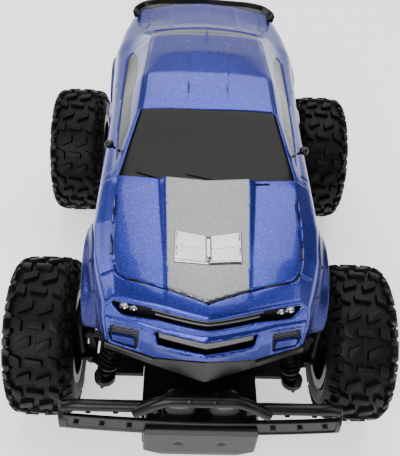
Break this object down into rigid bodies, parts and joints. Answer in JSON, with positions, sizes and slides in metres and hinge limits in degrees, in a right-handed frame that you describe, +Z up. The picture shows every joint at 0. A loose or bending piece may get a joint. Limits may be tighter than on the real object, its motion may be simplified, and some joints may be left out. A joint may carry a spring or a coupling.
{
  "type": "radio-controlled monster truck",
  "caption": "Toy monster truck with a riveted coupe body, a tubular front bumper, sprung wishbones, a steering rack and a geared swing axle on large block-tread tyres.",
  "frame": {"origin": "on the ground, under the middle of the truck's bounding box", "axes": "-Y points to the truck's front, +X to its left side, +Z up"},
  "size_m": [0.246, 0.3574, 0.1908],
  "materials": {
    "body_blue": "metallic blue paint",
    "flare_blue": "darker metallic blue",
    "glazing": "glossy black",
    "trim_black": "satin black",
    "grille_grey": "dark grey",
    "lamp_red": "red, glossy",
    "lens": "clear lens",
    "chassis_black": "grained moulding",
    "arm_black": "satin moulding",
    "bumper_black": "satin moulding",
    "rim_black": "satin black",
    "tread_rubber": "matte rubber",
    "bright_steel": "plain steel",
    "motor_can": "drawn can",
    "gear_nylon": "natural nylon",
    "pinion_brass": "cut brass",
    "shock_red": "satin black",
    "spring_steel": "wire",
    "cell_green": "shrink sleeve",
    "board_green": "circuit board",
    "servo_black": "moulded case",
    "horn_white": "white nylon",
    "switch_red": "moulded button"
  },
  "bodies": {
    "chassis": {"body_shell": "body_blue", "window_tub": "glazing", "arch_flares": "flare_blue", "grille_panel": "grille_grey", "chin_splitter": "trim_black", "rear_spoiler": "trim_black", "tail_lamps": "lamp_red", "door_mirrors": "trim_black", "front_lamp_lenses": "lens", "chassis_tub": "chassis_black", "front_bulkhead": "chassis_black", "rear_frame": "chassis_black", "bumper_beam": "bumper_black", "bumper_tubes": "bumper_black", "skid_plate": "bumper_black", "suspension_pins": "bright_steel", "battery_pack": "cell_green", "circuit_board": "board_green", "steering_servo": "servo_black", "chassis_screws": "bright_steel"},
    "battery_door": {"battery_door": "chassis_black"},
    "power_switch": {"power_switch": "switch_red"},
    "servo_horn": {"servo_horn": "horn_white"},
    "steering_rack": {"steering_rack": "arm_black"},
    "lower_arm_left": {"lower_arm_left": "arm_black"},
    "upper_arm_left": {"upper_arm_left": "arm_black"},
    "knuckle_carrier_left": {"knuckle_carrier_left": "arm_black"},
    "steering_knuckle_left": {"steering_knuckle_left": "arm_black"},
    "tie_rod_left": {"tie_rod_left": "bright_steel"},
    "front_wheel_left": {"front_rim_left": "rim_black", "front_tyre_left": "tread_rubber", "front_wheel_nut_left": "bright_steel"},
    "front_shock_left": {"front_shock_body_left": "shock_red", "front_shock_spring_left": "spring_steel"},
    "front_shock_rod_left": {"front_shock_rod_left": "bright_steel"},
    "lower_arm_right": {"lower_arm_right": "arm_black"},
    "upper_arm_right": {"upper_arm_right": "arm_black"},
    "knuckle_carrier_right": {"knuckle_carrier_right": "arm_black"},
    "steering_knuckle_right": {"steering_knuckle_right": "arm_black"},
    "tie_rod_right": {"tie_rod_right": "bright_steel"},
    "front_wheel_right": {"front_rim_right": "rim_black", "front_tyre_right": "tread_rubber", "front_wheel_nut_right": "bright_steel"},
    "front_shock_right": {"front_shock_body_right": "shock_red", "front_shock_spring_right": "spring_steel"},
    "front_shock_rod_right": {"front_shock_rod_right": "bright_steel"},
    "rear_axle": {"rear_axle_housing": "arm_black", "gearbox_cover": "arm_black", "drive_motor": "motor_can"},
    "motor_pinion": {"motor_pinion": "pinion_brass"},
    "rear_wheels": {"rear_axle_shaft": "bright_steel", "axle_gear": "gear_nylon", "rear_rim_left": "rim_black", "rear_rim_right": "rim_black", "rear_tyre_left": "tread_rubber", "rear_tyre_right": "tread_rubber", "rear_wheel_nuts": "bright_steel"},
    "rear_shocks": {"rear_shock_bodies": "shock_red", "rear_shock_springs": "spring_steel"},
    "rear_shock_rods": {"rear_shock_rods": "bright_steel"}
  },
  "joints": [
    {"name": "battery_door_hinge", "type": "hinge", "parent": "chassis", "child": "battery_door", "pos_m": [0, -0.0228, 0.0252], "axis": [-1, 0, 0], "range_deg": [0, 80]},
    {"name": "power_switch_slide", "type": "slide", "parent": "chassis", "child": "power_switch", "axis": [0, 1, 0], "range_m": [0, 0.0038]},
    {"name": "steering", "type": "slide", "parent": "chassis", "child": "steering_rack", "axis": [1, 0, 0], "range_m": [-0.0068, 0.0068]},
    {"name": "servo_horn_turn", "type": "hinge", "parent": "chassis", "child": "servo_horn", "pos_m": [0, -0.064, 0.058], "axis": [0, 0, 1], "range_deg": [-28.2, 28.2]},
    {"name": "lower_arm_left_hinge", "type": "hinge", "parent": "chassis", "child": "lower_arm_left", "pos_m": [0.03, -0.098, 0.04], "axis": [0, -1, 0], "range_deg": [0, 12], "stiffness_Nm_per_rad": 0.8, "springref_deg": -20.05},
    {"name": "upper_arm_left_hinge", "type": "hinge", "parent": "chassis", "child": "upper_arm_left", "pos_m": [0.03, -0.098, 0.065], "axis": [0, -1, 0], "range_deg": [-0.5, 12.5]},
    {"name": "carrier_left_hinge", "type": "hinge", "parent": "lower_arm_left", "child": "knuckle_carrier_left", "pos_m": [0.072, -0.098, 0.04], "axis": [0, -1, 0], "range_deg": [-12.5, 0.5]},
    {"name": "kingpin_left", "type": "hinge", "parent": "knuckle_carrier_left", "child": "steering_knuckle_left", "pos_m": [0.08, -0.098, 0.0525], "axis": [0, 0, 1], "range_deg": [-20.2, 20.2]},
    {"name": "front_wheel_left_spin", "type": "hinge", "parent": "steering_knuckle_left", "child": "front_wheel_left", "pos_m": [0.101, -0.098, 0.0525], "axis": [1, 0, 0], "continuous": true},
    {"name": "tie_rod_left_pivot", "type": "hinge", "parent": "steering_rack", "child": "tie_rod_left", "pos_m": [0.038, -0.078, 0.0525], "axis": [0, -1, 0], "range_deg": [-0.5, 12.5]},
    {"name": "front_shock_left_pivot", "type": "hinge", "parent": "chassis", "child": "front_shock_left", "pos_m": [0.05, -0.122, 0.102], "axis": [0, -1, 0], "range_deg": [-0.2, 0.603]},
    {"name": "front_shock_left_stroke", "type": "slide", "parent": "front_shock_left", "child": "front_shock_rod_left", "axis": [-0.193, 0, 0.9812], "range_m": [-0.0002, 0.00698], "deforming": ["front_shock_spring_left"]},
    {"name": "lower_arm_right_hinge", "type": "hinge", "parent": "chassis", "child": "lower_arm_right", "pos_m": [-0.03, -0.098, 0.04], "axis": [0, 1, 0], "range_deg": [0, 12], "stiffness_Nm_per_rad": 0.8, "springref_deg": -20.05},
    {"name": "upper_arm_right_hinge", "type": "hinge", "parent": "chassis", "child": "upper_arm_right", "pos_m": [-0.03, -0.098, 0.065], "axis": [0, 1, 0], "range_deg": [-0.5, 12.5]},
    {"name": "carrier_right_hinge", "type": "hinge", "parent": "lower_arm_right", "child": "knuckle_carrier_right", "pos_m": [-0.072, -0.098, 0.04], "axis": [0, 1, 0], "range_deg": [-12.5, 0.5]},
    {"name": "kingpin_right", "type": "hinge", "parent": "knuckle_carrier_right", "child": "steering_knuckle_right", "pos_m": [-0.08, -0.098, 0.0525], "axis": [0, 0, 1], "range_deg": [-20.2, 20.2]},
    {"name": "front_wheel_right_spin", "type": "hinge", "parent": "steering_knuckle_right", "child": "front_wheel_right", "pos_m": [-0.101, -0.098, 0.0525], "axis": [1, 0, 0], "continuous": true},
    {"name": "tie_rod_right_pivot", "type": "hinge", "parent": "steering_rack", "child": "tie_rod_right", "pos_m": [-0.038, -0.078, 0.0525], "axis": [0, 1, 0], "range_deg": [-0.5, 12.5]},
    {"name": "front_shock_right_pivot", "type": "hinge", "parent": "chassis", "child": "front_shock_right", "pos_m": [-0.05, -0.122, 0.102], "axis": [0, 1, 0], "range_deg": [-0.2, 0.603]},
    {"name": "front_shock_right_stroke", "type": "slide", "parent": "front_shock_right", "child": "front_shock_rod_right", "axis": [0.193, 0, 0.9812], "range_m": [-0.0002, 0.00698], "deforming": ["front_shock_spring_right"]},
    {"name": "rear_swing", "type": "hinge", "parent": "chassis", "child": "rear_axle", "pos_m": [0, 0.054, 0.042], "axis": [1, 0, 0], "range_deg": [0, 10], "stiffness_Nm_per_rad": 2, "springref_deg": -22.92},
    {"name": "rear_axle_spin", "type": "hinge", "parent": "rear_axle", "child": "rear_wheels", "pos_m": [0, 0.106, 0.0525], "axis": [1, 0, 0], "continuous": true},
    {"name": "motor_spin", "type": "hinge", "parent": "rear_axle", "child": "motor_pinion", "pos_m": [0.014, 0.08427, 0.05792], "axis": [1, 0, 0], "continuous": true},
    {"name": "rear_shock_pivot", "type": "hinge", "parent": "chassis", "child": "rear_shocks", "pos_m": [0, 0.098, 0.116], "axis": [1, 0, 0], "range_deg": [-2.43, 0.2]},
    {"name": "rear_shock_stroke", "type": "slide", "parent": "rear_shocks", "child": "rear_shock_rods", "axis": [0, -0.251, 0.968], "range_m": [-0.0002, 0.01081], "deforming": ["rear_shock_springs"]}
  ],
  "couplings": [
    {"joint": "servo_horn_turn", "follows": "steering", "rad_per_m": 71.43},
    {"joint": "upper_arm_left_hinge", "follows": "lower_arm_left_hinge", "ratio": 1},
    {"joint": "carrier_left_hinge", "follows": "lower_arm_left_hinge", "ratio": -1},
    {"joint": "tie_rod_left_pivot", "follows": "lower_arm_left_hinge", "ratio": 1},
    {"joint": "front_shock_left_pivot", "follows": "lower_arm_left_hinge", "ratio": 0.0335},
    {"joint": "front_shock_left_stroke", "follows": "lower_arm_left_hinge", "m_per_rad": 0.0319},
    {"joint": "kingpin_left", "follows": "steering", "rad_per_m": -50},
    {"joint": "upper_arm_right_hinge", "follows": "lower_arm_right_hinge", "ratio": 1},
    {"joint": "carrier_right_hinge", "follows": "lower_arm_right_hinge", "ratio": -1},
    {"joint": "tie_rod_right_pivot", "follows": "lower_arm_right_hinge", "ratio": 1},
    {"joint": "front_shock_right_pivot", "follows": "lower_arm_right_hinge", "ratio": 0.0335},
    {"joint": "front_shock_right_stroke", "follows": "lower_arm_right_hinge", "m_per_rad": 0.0319},
    {"joint": "kingpin_right", "follows": "steering", "rad_per_m": -50},
    {"joint": "motor_spin", "follows": "rear_axle_spin", "ratio": -3.6667},
    {"joint": "rear_shock_pivot", "follows": "rear_swing", "ratio": -0.2232},
    {"joint": "rear_shock_stroke", "follows": "rear_swing", "m_per_rad": 0.06024}
  ]
}
